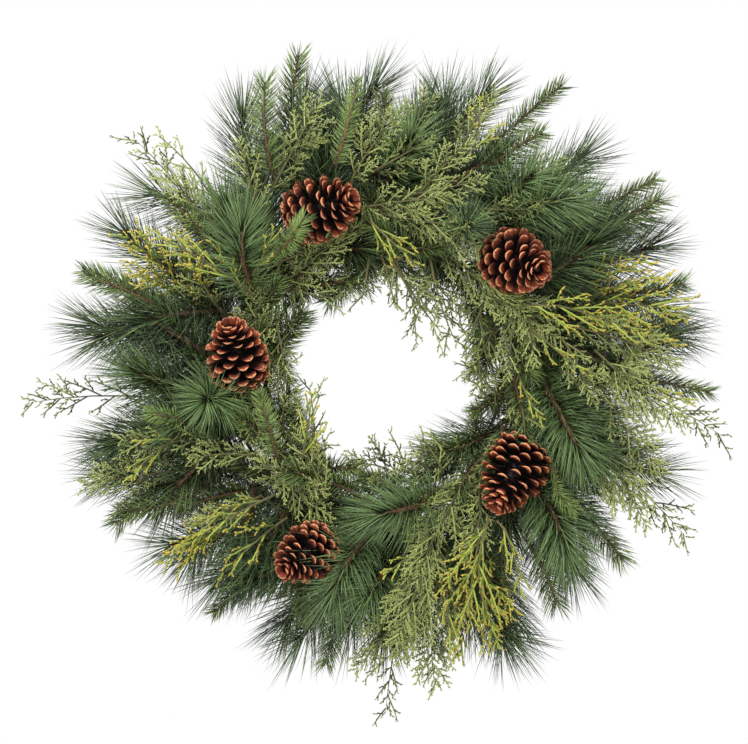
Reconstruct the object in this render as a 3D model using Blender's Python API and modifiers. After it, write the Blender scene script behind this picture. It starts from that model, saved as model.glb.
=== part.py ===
"""A fresh evergreen wreath: sprigs and pine cones bound with wire to a welded ring frame.

The wreath hangs upright and faces -Y. The origin is the point inside the top of the wire eye,
where a nail or hook bears, so the middle of the ring lies below it. Places round the ring are
given as on a clock: degrees clockwise from the top, as seen from the front.

Each sprig is a plain closed solid of its real place, length and dense core: a stem that rests on
one ring of the frame, and a spindle of foliage beyond it.
"""

import math
from typing import NamedTuple

import bmesh
import bpy
from mathutils import Matrix, Vector

# Frame, in metres. The outer and inner rings lie in one plane; two middle rings lie behind them,
# which makes a shallow trough that is open to the front.
FRAME_WIRE_RADIUS = 0.0016
OUTER_RING_RADIUS = 0.150
INNER_RING_RADIUS = 0.104
OUTER_MIDDLE_RADIUS = 0.137
INNER_MIDDLE_RADIUS = 0.117
RING_PLANE_Y = -0.010
TROUGH_DEPTH = 0.012
RING_SEGMENTS = 48
WIRE_SIDES = 6
BRACE_COUNT = 8
BRACE_CLOCK = 7.5
BRACE_INSET = 0.0018

# Hanger: a wire with an eye at its top and both ends coiled on the outer ring.
EYE_RADIUS = 0.009
HANGER_WIRE_RADIUS = 0.0012
HANGER_HALF_WIDTH = 0.004
HANGER_RISE = 0.014
HANGER_COIL_TURNS = 2.5
HANGER_COIL_PITCH = 0.0032
HANGER_STEPS_PER_TURN = 8
HANGER_EYE_STEPS = 14
HANGER_CLOCKS = [-4, -2, 0, 2, 4]

# Binding wire, wound round the frame with one crossing on the front for each turn.
# BINDING_CLEARANCE is the least angle between a turn and a stem, in degrees.
BINDING_WIRE_RADIUS = 0.0006
BINDING_TURNS = 24
BINDING_CLEARANCE = 3.6
BINDING_SLACK = 0.0006
BINDING_SEARCH_STEP = 0.25

# Solids that touch keep this gap, and points closer than the weld distance are one point.
SEAT_GAP = 0.0003
WELD_DISTANCE = 0.000001

# Each stem runs on past its ring by its heel, which lies this many degrees before the seat on
# average, and it is bare for this share of the way to its tip.
STEM_RADIUS = 0.0025
HEEL_LENGTH = 0.010
HEEL_SWEEP = 0.8
BARE_STEM = 0.1

FRONT = Vector((0, -1, 0))
CENTRE = Vector((0, RING_PLANE_Y, -(EYE_RADIUS * 2 + HANGER_RISE + OUTER_RING_RADIUS)))


class Foliage(NamedTuple):
    """The shape and finish of one kind of sprig."""

    girth: float  # greatest half width of the foliage
    flatness: float  # thickness over width
    outline: tuple  # (share of the length, share of the girth) from the stem to the tip
    colour: tuple  # linear red, green and blue


class Sprig(NamedTuple):
    """One sprig, by where its stem rests on a ring of the frame and where its tip lies."""

    kind: str
    seat: float  # clock of its seat on the ring
    tip: float  # clock of its tip
    reach: float  # from the middle of the ring to its tip
    forward: float  # from the plane of the rings to its tip, before it arches
    arch: float = 0.0  # how far the tip then falls back towards the wall


class Cone(NamedTuple):
    """One pine cone, by its middle and the way its tip points."""

    clock: float
    radius: float  # from the middle of the ring
    forward: float  # in front of the rings
    points: tuple  # (right, front, up)
    size: float  # over a cone of CONE_LENGTH
    pick_clock: float  # where its wire leaves the frame


FOLIAGE = {
    "pine_spray": Foliage(0.020, 1.0, ((0.22, 0.45), (0.5, 1.0), (0.8, 0.95), (1.0, 0.35)),
                          (0.055, 0.13, 0.045)),
    "fir_tip": Foliage(0.015, 1.0, ((0.2, 0.7), (0.5, 1.0), (0.8, 0.85), (1.0, 0.3)),
                       (0.07, 0.15, 0.05)),
    "cedar_spray": Foliage(0.026, 0.36, ((0.25, 0.5), (0.5, 1.0), (0.75, 0.85), (1.0, 0.2)),
                           (0.2, 0.28, 0.09)),
    "cypress_spray": Foliage(0.020, 0.4, ((0.25, 0.4), (0.5, 0.85), (0.8, 1.0), (1.0, 0.4)),
                             (0.42, 0.42, 0.07)),
}

# The back row lies almost flat against the wall and makes the outer fringe.
BACK_ROW = [
    Sprig("pine_spray", 339, 0, 0.270, 0.012),
    Sprig("pine_spray", 9, 21, 0.280, 0.012),
    Sprig("pine_spray", 28, 44, 0.276, 0.012),
    Sprig("pine_spray", 51, 66, 0.280, 0.012),
    Sprig("pine_spray", 71, 84, 0.276, 0.012),
    Sprig("cedar_spray", 89, 101, 0.303, 0.012),
    Sprig("cedar_spray", 106, 119, 0.304, 0.012),
    Sprig("pine_spray", 124, 138, 0.258, 0.012),
    Sprig("pine_spray", 142, 154, 0.264, 0.012),
    Sprig("cedar_spray", 167, 180, 0.302, 0.012),
    Sprig("pine_spray", 192, 203, 0.256, 0.012),
    Sprig("pine_spray", 216, 228, 0.254, 0.012),
    Sprig("pine_spray", 241, 251, 0.274, 0.012),
    Sprig("cedar_spray", 257, 265, 0.317, 0.012),
    Sprig("pine_spray", 272, 280, 0.281, 0.012),
    Sprig("pine_spray", 291, 299, 0.281, 0.012),
    Sprig("cedar_spray", 305, 313, 0.305, 0.012),
    Sprig("pine_spray", 321, 332, 0.278, 0.012),
]

# The second row lies on the first and fills its gaps.
SECOND_ROW = [
    Sprig("fir_tip", 332, 345, 0.288, 0.056, 0.010),
    Sprig("fir_tip", 19, 32, 0.295, 0.056, 0.010),
    Sprig("fir_tip", 41, 55, 0.292, 0.056, 0.010),
    Sprig("fir_tip", 61, 74, 0.274, 0.052, 0.010),
    Sprig("fir_tip", 81, 94, 0.286, 0.056, 0.010),
    Sprig("fir_tip", 116, 129, 0.266, 0.056, 0.010),
    Sprig("cypress_spray", 155, 166, 0.250, 0.056, 0.010),
    Sprig("fir_tip", 182, 192, 0.262, 0.056, 0.010),
    Sprig("fir_tip", 205, 216, 0.260, 0.056, 0.010),
    Sprig("fir_tip", 231, 241, 0.272, 0.056, 0.010),
    Sprig("fir_tip", 281, 289, 0.280, 0.056, 0.010),
]

# The front row leans towards the viewer, between the cones.
FRONT_ROW = [
    Sprig("pine_spray", 351, 9, 0.208, 0.100, 0.012),
    Sprig("pine_spray", 35, 37, 0.214, 0.104, 0.012),
    Sprig("cypress_spray", 67, 79, 0.256, 0.100, 0.012),
    Sprig("pine_spray", 101, 113, 0.196, 0.094, 0.012),
    Sprig("cypress_spray", 148, 158, 0.246, 0.092, 0.012),
    Sprig("pine_spray", 175, 187, 0.196, 0.100, 0.012),
    Sprig("cypress_spray", 221, 229, 0.244, 0.092, 0.012),
    Sprig("pine_spray", 249, 258, 0.192, 0.094, 0.010),
    Sprig("pine_spray", 264, 271, 0.226, 0.084, 0.012),
    Sprig("cypress_spray", 286, 298, 0.246, 0.092, 0.012),
    Sprig("pine_spray", 310, 318, 0.204, 0.100, 0.012),
]

# The inner row crosses the inner ring and runs round the edge of the hole.
INNER_ROW = [
    Sprig("cedar_spray", 330, 6, 0.086, 0.040),
    Sprig("cedar_spray", 15, 55, 0.084, 0.040),
    Sprig("cedar_spray", 65, 104, 0.086, 0.040),
    Sprig("pine_spray", 118, 156, 0.084, 0.040),
    Sprig("cedar_spray", 168, 205, 0.086, 0.040),
    Sprig("fir_tip", 218, 254, 0.084, 0.040),
    Sprig("fir_tip", 274, 312, 0.086, 0.040),
]

# Pine cones. A cone of size 1 is CONE_LENGTH long and CONE_RADIUS in half width.
CONE_LENGTH = 0.066
CONE_RADIUS = 0.029
CONE_SIDES = 14
CONE_ROWS = 5
CONE_GROOVE = 0.82

# The cone's outline is an ellipse with its middle below the cone's own, in shares of its length.
CONE_ROW_SPAN = 0.88
CONE_BULGE_HEIGHT = -0.12
CONE_BULGE_SPAN = 0.64

# The wire that holds a cone stands on the frame and is wrapped this many degrees round the neck.
CONE_WIRE_RADIUS = 0.0009
CONE_WRAP_TURN = 300
CONE_WRAP_STEPS = 12
CONE_WIRE_FOOT = -0.006
CONE_WIRE_SHOULDER = 0.010

CONES = [
    Cone(340, 0.149, 0.074, (0.72, 0.62, 0.22), 1.06, 345),
    Cone(51, 0.147, 0.074, (0.55, 0.80, -0.22), 1.06, 45),
    Cone(278, 0.129, 0.074, (-0.15, 0.62, 0.76), 1.0, 270),
    Cone(130, 0.140, 0.074, (-0.30, 0.62, -0.72), 1.06, 135),
    Cone(204, 0.172, 0.072, (-0.62, 0.66, -0.42), 0.94, 195),
]

COLOURS = {
    "steel": (0.10, 0.13, 0.10),
    "green_wire": (0.06, 0.16, 0.07),
    "bright_wire": (0.45, 0.45, 0.43),
    "cone": (0.20, 0.06, 0.03),
}


def clear_scene():
    """Removes every object, so that only the wreath is left."""
    for obj in list(bpy.data.objects):
        bpy.data.objects.remove(obj)


def finish(name, colour, roughness, metallic=0.0):
    """A Principled material of one plain colour."""
    material = bpy.data.materials.new(name)
    material.use_nodes = True
    shader = material.node_tree.nodes["Principled BSDF"]
    shader.inputs["Base Color"].default_value = (*colour, 1.0)
    shader.inputs["Roughness"].default_value = roughness
    shader.inputs["Metallic"].default_value = metallic
    return material


def outward(clock):
    """Unit vector from the middle of the ring towards a place on the clock."""
    return Vector((math.sin(math.radians(clock)), 0, math.cos(math.radians(clock))))


def clockwise(clock):
    """Unit vector along the ring, clockwise, at a place on the clock."""
    return Vector((math.cos(math.radians(clock)), 0, -math.sin(math.radians(clock))))


def on_ring(clock, radius, forward=0.0):
    """Point at a radius from the middle of the ring, and that far in front of the rings."""
    return CENTRE + outward(clock) * radius + FRONT * forward


def wire_curve(name, points, radius, collection):
    """A round wire along the points, as a curve object with six sides and closed ends."""
    curve = bpy.data.curves.new(name, "CURVE")
    curve.dimensions = "3D"
    curve.bevel_depth = radius
    curve.bevel_resolution = 1
    curve.use_fill_caps = True
    spline = curve.splines.new("POLY")
    spline.points.add(len(points) - 1)
    for spline_point, place in zip(spline.points, points):
        spline_point.co = (*place, 1.0)
    obj = bpy.data.objects.new(name, curve)
    collection.objects.link(obj)
    return obj


def mesh_of_curve(curve_object, collection):
    """The curve object made into a mesh object with its caps welded on; the curve is removed."""
    graph = bpy.context.evaluated_depsgraph_get()
    name = curve_object.name
    mesh = bpy.data.meshes.new_from_object(curve_object.evaluated_get(graph), depsgraph=graph)
    shape = bmesh.new()
    shape.from_mesh(mesh)
    bmesh.ops.remove_doubles(shape, verts=shape.verts, dist=WELD_DISTANCE)
    shape.to_mesh(mesh)
    shape.free()
    place = curve_object.matrix_world.copy()
    bpy.data.objects.remove(curve_object)
    obj = bpy.data.objects.new(name, mesh)
    obj.matrix_world = place
    collection.objects.link(obj)
    return obj


def frame_ring(name, radius, forward, collection):
    """One ring of the frame, as a torus that lies in the wreath's plane."""
    bpy.ops.mesh.primitive_torus_add(
        major_segments=RING_SEGMENTS, minor_segments=WIRE_SIDES,
        major_radius=radius, minor_radius=FRAME_WIRE_RADIUS,
        location=CENTRE + FRONT * forward, rotation=(math.pi / 2, 0, 0),
    )
    ring = bpy.context.object
    ring.name = name
    ring.data.shade_smooth()
    for owner in list(ring.users_collection):
        owner.objects.unlink(ring)
    collection.objects.link(ring)
    return ring


def frame_brace(name, clock, collection):
    """A bent wire across the trough, let into the four rings where it is welded to them."""
    stations = [
        (OUTER_RING_RADIUS, 0.0),
        (OUTER_MIDDLE_RADIUS, BRACE_INSET - TROUGH_DEPTH),
        (INNER_MIDDLE_RADIUS, BRACE_INSET - TROUGH_DEPTH),
        (INNER_RING_RADIUS, 0.0),
    ]
    points = [on_ring(clock, radius, forward) for radius, forward in stations]
    brace = wire_curve(name, points, FRAME_WIRE_RADIUS, collection)
    return mesh_of_curve(brace, collection)


def build_frame(parts, helpers):
    """The welded frame: the outer ring, with the other rings and the braces joined to it."""
    frame = frame_ring("wire_frame", OUTER_RING_RADIUS, 0.0, parts)
    joined = [
        frame_ring("ring_inner", INNER_RING_RADIUS, 0.0, helpers),
        frame_ring("ring_outer_middle", OUTER_MIDDLE_RADIUS, -TROUGH_DEPTH, helpers),
        frame_ring("ring_inner_middle", INNER_MIDDLE_RADIUS, -TROUGH_DEPTH, helpers),
    ]
    for index in range(BRACE_COUNT):
        clock = BRACE_CLOCK + index * 360 / BRACE_COUNT
        joined.append(frame_brace(f"brace_{index + 1}", clock, helpers))
    for piece in joined:
        piece.hide_render = True
        piece.display_type = "WIRE"
        weld = frame.modifiers.new(piece.name, "BOOLEAN")
        weld.operation = "UNION"
        weld.object = piece
    frame.data.materials.append(finish("frame_steel", COLOURS["steel"], 0.45, 0.8))


def clear_of_stems(clock):
    """The nearest place on the clock where the binding wire passes between two stems."""
    seats = [sprig.seat - HEEL_SWEEP for sprig in BACK_ROW + SECOND_ROW + FRONT_ROW + INNER_ROW]
    seats += [cone.pick_clock for cone in CONES]
    seats += HANGER_CLOCKS
    shift = 0.0
    while True:
        for place in (clock + shift, clock - shift):
            gaps = [abs((place - seat + 180) % 360 - 180) for seat in seats]
            if min(gaps) >= BINDING_CLEARANCE:
                return place
        shift += BINDING_SEARCH_STEP


def binding_turn(clock, next_clock):
    """Points of one turn of the binding wire: straight across the front, slanting at the back."""
    off = FRAME_WIRE_RADIUS + BINDING_WIRE_RADIUS + BINDING_SLACK
    corner = off * math.sqrt(0.5)
    back = -(TROUGH_DEPTH + off)
    step = next_clock - clock
    return [
        on_ring(clock, INNER_RING_RADIUS - corner, corner),
        on_ring(clock, OUTER_RING_RADIUS + corner, corner),
        on_ring(clock + 0.1 * step, OUTER_RING_RADIUS + off, -0.3 * off),
        on_ring(clock + 0.3 * step, OUTER_MIDDLE_RADIUS + corner, back),
        on_ring(clock + 0.7 * step, INNER_MIDDLE_RADIUS - corner, back),
        on_ring(clock + 0.9 * step, INNER_RING_RADIUS - off, -0.3 * off),
    ]


def build_binding(parts):
    """One continuous wire that is wound round the whole frame, with its two ends apart."""
    step = 360 / BINDING_TURNS
    clocks = [clear_of_stems((turn + 0.5) * step) for turn in range(BINDING_TURNS)]
    clocks.append(clocks[0] + 360)
    points = []
    for clock, next_clock in zip(clocks, clocks[1:]):
        points += binding_turn(clock, next_clock)
    binding = wire_curve("binding_wire", points[:-2], BINDING_WIRE_RADIUS, parts)
    binding.data.materials.append(finish("binding_green", COLOURS["green_wire"], 0.5, 0.3))


def hanger_coil(side):
    """Points of one end of the hanger, coiled round the outer ring on that side of the eye."""
    coil_radius = FRAME_WIRE_RADIUS + HANGER_WIRE_RADIUS + SEAT_GAP
    points = []
    for index in range(round(HANGER_COIL_TURNS * HANGER_STEPS_PER_TURN) + 1):
        turns = index / HANGER_STEPS_PER_TURN
        turn = 2 * math.pi * turns
        along = side * (HANGER_HALF_WIDTH + HANGER_COIL_PITCH * turns)
        lift = math.sqrt(OUTER_RING_RADIUS ** 2 - along ** 2)
        ring_point = CENTRE + Vector((along, 0, lift))
        points.append(ring_point + coil_radius * Vector((0, math.cos(turn), -math.sin(turn))))
    return points


def build_hanger(parts):
    """The wire eye behind the top of the frame. The origin is the point inside its top."""
    eye_middle = Vector((0, 0, -EYE_RADIUS))
    wire_circle = EYE_RADIUS + HANGER_WIRE_RADIUS
    opening = math.asin(HANGER_HALF_WIDTH / wire_circle)
    step = (2 * math.pi - 2 * opening) / HANGER_EYE_STEPS
    eye = []
    for index in range(HANGER_EYE_STEPS + 1):
        angle = -math.pi / 2 - opening - index * step
        eye.append(eye_middle + wire_circle * Vector((math.cos(angle), 0, math.sin(angle))))
    points = hanger_coil(-1)[::-1] + eye + hanger_coil(1)
    hanger = wire_curve("hanger_loop", points, HANGER_WIRE_RADIUS, parts)
    hanger.data.materials.append(finish("hanger_steel", COLOURS["bright_wire"], 0.35, 0.9))


def build_sprig(name, sprig, ring_radius, parts, material):
    """A sprig whose stem rests on the front of a ring, turned so that its broad side faces out."""
    foliage = FOLIAGE[sprig.kind]
    crossing = on_ring(sprig.seat, ring_radius)
    to_tip = on_ring(sprig.tip, sprig.reach, sprig.forward) - crossing
    direction = to_tip.normalized()
    across = clockwise(sprig.seat).cross(direction)
    face = across.normalized() * math.copysign(1.0, across.dot(FRONT))
    seat = FRAME_WIRE_RADIUS + STEM_RADIUS * foliage.flatness + SEAT_GAP

    length = to_tip.length
    stations = [(-HEEL_LENGTH, STEM_RADIUS), (BARE_STEM * length, STEM_RADIUS)]
    for share, girth in foliage.outline:
        stations.append((share * length, girth * foliage.girth))
    curve = bpy.data.curves.new(name, "CURVE")
    curve.dimensions = "3D"
    curve.bevel_depth = 1.0
    curve.bevel_resolution = 1
    curve.use_fill_caps = True
    spline = curve.splines.new("POLY")
    spline.points.add(len(stations) - 1)
    for spline_point, (along, radius) in zip(spline.points, stations):
        fall = sprig.arch * (max(along, 0.0) / length) ** 2
        spline_point.co = (along, 0.0, -fall / foliage.flatness, 1.0)
        spline_point.radius = radius
    obj = bpy.data.objects.new(name, curve)
    turn = Matrix((direction, face.cross(direction), face)).transposed()
    obj.location = crossing + face * seat
    obj.rotation_euler = turn.to_euler()
    obj.scale = (1, 1, foliage.flatness)
    curve.materials.append(material)
    parts.objects.link(obj)


def build_sprigs(parts):
    """All the sprigs, numbered within their kind."""
    materials = {kind: finish(kind, foliage.colour, 0.6) for kind, foliage in FOLIAGE.items()}
    counts = dict.fromkeys(FOLIAGE, 0)
    rows = [(sprig, OUTER_RING_RADIUS) for sprig in BACK_ROW + SECOND_ROW + FRONT_ROW]
    rows += [(sprig, INNER_RING_RADIUS) for sprig in INNER_ROW]
    for sprig, ring_radius in rows:
        counts[sprig.kind] += 1
        name = f"{sprig.kind}_{counts[sprig.kind]:02d}"
        build_sprig(name, sprig, ring_radius, parts, materials[sprig.kind])


def cone_profile():
    """(radius, height) from the tip down to the base, with a groove between rows of scales."""
    points = [(0.0, CONE_LENGTH / 2)]
    steps = CONE_ROWS * 2
    for row in range(steps + 1):
        height = CONE_ROW_SPAN * (0.5 - row / steps)
        swell = math.sqrt(1 - ((height - CONE_BULGE_HEIGHT) / CONE_BULGE_SPAN) ** 2)
        depth = 1.0 if row % 2 == 0 else CONE_GROOVE
        points.append((CONE_RADIUS * swell * depth, CONE_LENGTH * height))
    points.append((0.0, -CONE_LENGTH / 2))
    return points


def build_cone(name, cone, parts, material):
    """A turned cone with a ridge for each row of scales. Returns its place, without its scale."""
    mesh = bpy.data.meshes.new(name)
    profile = cone_profile()
    mesh.from_pydata([(radius, 0.0, height) for radius, height in profile],
                     [(index, index + 1) for index in range(len(profile) - 1)], [])
    obj = bpy.data.objects.new(name, mesh)
    turned = obj.modifiers.new("turned", "SCREW")
    turned.axis = "Z"
    turned.steps = CONE_SIDES
    turned.render_steps = CONE_SIDES
    turned.use_merge_vertices = True
    turned.merge_threshold = 0.0001
    right, front, up = cone.points
    axis = Vector((right, -front, up)).normalized()
    middle = on_ring(cone.clock, cone.radius, cone.forward)
    place = Matrix.Translation(middle) @ axis.to_track_quat("Z", "Y").to_matrix().to_4x4()
    obj.matrix_world = place @ Matrix.Scale(cone.size, 4)
    mesh.materials.append(material)
    parts.objects.link(obj)
    return place


def build_cone_wire(name, cone, place, parts, material):
    """A wire that rises beside the outer ring, passes the cone's base and is wrapped round it."""
    off = FRAME_WIRE_RADIUS + CONE_WIRE_RADIUS + SEAT_GAP
    foot = on_ring(cone.pick_clock, OUTER_RING_RADIUS - off, CONE_WIRE_FOOT)
    shoulder = on_ring(cone.pick_clock, OUTER_RING_RADIUS - off, CONE_WIRE_SHOULDER)
    neck, base = cone_profile()[-3:-1]
    neck_radius, neck_height = neck
    base_radius, base_height = base
    wrap_step = math.radians(CONE_WRAP_TURN) / CONE_WRAP_STEPS
    wrap_radius = neck_radius * cone.size + CONE_WIRE_RADIUS + SEAT_GAP * 2
    wrap_radius /= math.cos(wrap_step / 2)
    clear_radius = base_radius * cone.size + 3 * CONE_WIRE_RADIUS
    to_shoulder = place.inverted() @ shoulder
    start = math.atan2(to_shoulder.y, to_shoulder.x)
    route = [
        (clear_radius, base_height - 2 * CONE_WIRE_RADIUS, 0),
        (clear_radius, neck_height, 0),
    ]
    for index in range(1, CONE_WRAP_STEPS + 1):
        route.append((wrap_radius, neck_height, wrap_step * index))
    points = [foot, shoulder]
    for radius, height, turn in route:
        angle = start + turn
        local = Vector((radius * math.cos(angle), radius * math.sin(angle), height * cone.size))
        points.append(place @ local)
    wire = wire_curve(name, points, CONE_WIRE_RADIUS, parts)
    wire.data.materials.append(material)


def build_cones(parts):
    """The five cones and the wires that hold them."""
    cone_finish = finish("cone_scales", COLOURS["cone"], 0.45)
    wire_finish = finish("cone_wire", COLOURS["green_wire"], 0.5, 0.3)
    for number, cone in enumerate(CONES, start=1):
        place = build_cone(f"pine_cone_{number}", cone, parts, cone_finish)
        build_cone_wire(f"cone_wire_{number}", cone, place, parts, wire_finish)


def main():
    clear_scene()
    parts = bpy.data.collections.new("evergreen_wreath")
    helpers = bpy.data.collections.new("frame_helpers")
    for collection in (parts, helpers):
        bpy.context.scene.collection.children.link(collection)
    build_frame(parts, helpers)
    build_binding(parts)
    build_hanger(parts)
    build_sprigs(parts)
    build_cones(parts)


main()
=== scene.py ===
"""The looks of a mixed evergreen wreath: needles, scale leaves, open pine cones and wire.

The wreath hangs upright and faces -Y. Places round it are given as on a clock face seen from the
front: degrees clockwise from the top, a radius from the middle of the ring, and a distance
forward of the plane of the rings. Lengths are in metres, except in the tables whose comment says
millimetres.
"""

import logging
import math
from dataclasses import dataclass, field
from enum import Enum

import bpy
import numpy as np
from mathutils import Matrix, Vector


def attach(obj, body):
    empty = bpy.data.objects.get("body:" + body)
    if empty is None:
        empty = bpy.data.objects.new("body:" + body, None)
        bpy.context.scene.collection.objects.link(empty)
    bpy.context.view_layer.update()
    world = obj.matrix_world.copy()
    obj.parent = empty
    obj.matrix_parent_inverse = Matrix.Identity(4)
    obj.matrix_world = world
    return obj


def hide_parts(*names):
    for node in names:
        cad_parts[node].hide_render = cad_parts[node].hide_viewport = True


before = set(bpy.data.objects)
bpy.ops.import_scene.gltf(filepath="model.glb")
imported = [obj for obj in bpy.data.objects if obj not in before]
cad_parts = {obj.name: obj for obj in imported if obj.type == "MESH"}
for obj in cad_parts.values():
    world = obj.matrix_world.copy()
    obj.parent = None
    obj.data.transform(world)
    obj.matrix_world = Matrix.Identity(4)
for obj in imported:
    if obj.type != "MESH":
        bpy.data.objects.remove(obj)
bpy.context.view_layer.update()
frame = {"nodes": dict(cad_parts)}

Array = np.ndarray
Colour = tuple[float, float, float]
UP = np.array([0.0, 0.0, 1.0])
FRONT = np.array([0.0, -1.0, 0.0])
GOLDEN_TURN = math.radians(137.508)
LOG = logging.getLogger("wreath")


def tint(red: int, green: int, blue: int) -> Colour:
    """Linear colour of everyday red, green and blue values from 0 to 255."""
    return tuple(((value / 255 + 0.055) / 1.055) ** 2.4 for value in (red, green, blue))


def unit(vectors: Array) -> Array:
    """The same vectors at length 1."""
    return vectors / np.maximum(np.linalg.norm(vectors, axis=-1, keepdims=True), 1e-12)


class Wave:
    """A number, colour or vector that flows out of a node, with arithmetic that adds nodes."""

    def __init__(self, recipe: "Recipe", socket: bpy.types.NodeSocket) -> None:
        """Wraps one output socket of a recipe's tree."""
        self.recipe = recipe
        self.socket = socket

    def maths(self, operation: str, *terms: "Wave | float") -> "Wave":
        """Adds a Math node over the terms, in their order."""
        return self.recipe.node("ShaderNodeMath", {"operation": operation}, dict(enumerate(terms)))

    def __add__(self, other: "Wave | float") -> "Wave":
        """self + other"""
        return self.maths("ADD", self, other)

    def __sub__(self, other: "Wave | float") -> "Wave":
        """self - other"""
        return self.maths("SUBTRACT", self, other)

    def __rsub__(self, other: float) -> "Wave":
        """other - self"""
        return self.maths("SUBTRACT", other, self)

    def __mul__(self, other: "Wave | float") -> "Wave":
        """self * other"""
        return self.maths("MULTIPLY", self, other)

    __radd__ = __add__
    __rmul__ = __mul__

    def between(self, low: float, high: float) -> "Wave":
        """0 where self is at low or less, 1 at high or more, and smooth between them."""
        settings = {"interpolation_type": "SMOOTHSTEP"}
        return self.recipe.node("ShaderNodeMapRange", settings, {0: self, 1: low, 2: high})

    def pick(self, low: "Wave | Colour", high: "Wave | Colour") -> "Wave":
        """The colour low where self is 0 and high where it is 1."""
        sockets = {"Factor": self, "A": low, "B": high}
        return self.recipe.node("ShaderNodeMix", {"data_type": "RGBA"}, sockets)


class Recipe:
    """One material while it is being made."""

    def __init__(self, name: str) -> None:
        """Starts a material with an empty Principled shader."""
        self.material = bpy.data.materials.new(name)
        self.material.use_nodes = True
        self.tree = self.material.node_tree
        self.shader = self.tree.nodes["Principled BSDF"]

    def fill(self, socket: bpy.types.NodeSocket, value: "Wave | float | Colour") -> None:
        """Links a wave to a socket, or sets the socket to a plain value."""
        if isinstance(value, Wave):
            self.tree.links.new(value.socket, socket)
        elif socket.type == "RGBA":
            socket.default_value = (*value, 1.0)
        else:
            socket.default_value = value

    def node(self, kind: str, settings: dict | None = None, sockets: dict | None = None,
             output: str | int = 0) -> Wave:
        """Adds any node.

        Args:
            kind: the node's type.
            settings: its properties, which are set before its sockets.
            sockets: values or waves for its inputs, by number or by name.
            output: which of its outputs to return.

        Returns:
            The chosen output.
        """
        made = self.tree.nodes.new(kind)
        for key, value in (settings or {}).items():
            setattr(made, key, value)
        for key, value in (sockets or {}).items():
            found = made.inputs[key] if isinstance(key, int) else self.named(made.inputs, key)
            self.fill(found, value)
        outputs = [socket for socket in made.outputs if socket.enabled]
        wanted = outputs[output] if isinstance(output, int) else made.outputs[output]
        return Wave(self, wanted)

    @staticmethod
    def named(inputs: bpy.types.NodeInputs, name: str) -> bpy.types.NodeSocket:
        """The input in use that has this name."""
        return next(socket for socket in inputs if socket.name == name and socket.enabled)

    def growth_and_light(self) -> tuple[Wave, Wave, Wave]:
        """The three facts that every grown mesh carries: along, tone and painted light."""
        facts = self.node("ShaderNodeAttribute", {"attribute_name": "growth_and_light"}, output="Color")
        return tuple(self.node("ShaderNodeSeparateColor", None, {0: facts}, index)
                     for index in range(3))

    def noise(self, scale: float, detail: float = 3.0, stretch: Colour = (1.0, 1.0, 1.0)) -> Wave:
        """Cloudy noise from 0 to 1 in the object's own space, finer as scale grows."""
        place = self.node("ShaderNodeTexCoord", output="Object")
        spot = self.node("ShaderNodeMapping", None, {"Vector": place, "Scale": stretch})
        sockets = {"Vector": spot, "Scale": scale, "Detail": detail}
        return self.node("ShaderNodeTexNoise", None, sockets)

    def relief(self, height: Wave, strength: float, distance: float) -> None:
        """Raises the surface by a height."""
        sockets = {"Strength": strength, "Distance": distance, "Height": height}
        self.fill(self.shader.inputs["Normal"], self.node("ShaderNodeBump", None, sockets))

    def serve(self, **values: "Wave | float | Colour") -> bpy.types.Material:
        """Fills the shader's sockets, with underscores for spaces, and returns the material."""
        for name, value in values.items():
            self.fill(self.shader.inputs[name.replace("_", " ")], value)
        return self.material


@dataclass(frozen=True)
class LeafFinish:
    """Needles or scale leaves, from shaded green to sunlit green, with paler or drier tips."""

    name: str
    shaded: Colour
    sunlit: Colour
    foot: Colour
    tip: Colour
    tip_start: float
    tip_share: float
    foot_end: float = 0.06
    roughness: float = 0.46

    def make(self) -> bpy.types.Material:
        """Builds the material."""
        recipe = Recipe(self.name)
        along, tone, ripe = recipe.growth_and_light()
        # Large cloudy patches: partly painted shade, partly uneven tone.
        patches = recipe.noise(38.0)
        mottle = recipe.noise(420.0, 2.0)
        # Painted light and shade: the tone, the painted light and the patches choose between the
        # shaded and the sunlit green.
        light = (tone * 1.0 + ripe * 0.72 + patches * 0.3 - 0.52).between(0.0, 1.0)
        colour = light.pick(self.shaded, self.sunlit)
        dry = along.between(self.tip_start, 1.0) * self.tip_share * (tone * 0.6 + 0.5)
        colour = dry.pick(colour, self.tip)
        foot = 1.0 - along.between(0.0, self.foot_end)
        colour = foot.pick(colour, self.foot)
        # Pale specks brighter than the sunlit green: painted highlight.
        painted_highlight = mottle.between(0.45, 0.8) * 0.22
        colour = painted_highlight.pick(colour, tuple(channel * 1.5 + 0.01 for channel in self.sunlit))
        recipe.relief(mottle, 0.35, 0.0002)
        return recipe.serve(Base_Color=colour, Roughness=mottle * 0.16 + (self.roughness - 0.08),
                            Specular_IOR_Level=0.35)


@dataclass(frozen=True)
class BarkFinish:
    """Young bark on a twig, scaly and matt."""

    name: str
    cracks: Colour
    ridges: Colour

    def make(self) -> bpy.types.Material:
        """Builds the material."""
        recipe = Recipe(self.name)
        _, tone, _ = recipe.growth_and_light()
        scales = recipe.noise(520.0, 4.0)
        patches = recipe.noise(70.0)
        light = (scales * 0.9 + patches * 0.5 + tone * 0.3 - 0.35).between(0.1, 0.95)
        recipe.relief(scales, 0.8, 0.0006)
        return recipe.serve(Base_Color=light.pick(self.cracks, self.ridges),
                            Roughness=scales * 0.2 + 0.62)


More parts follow.
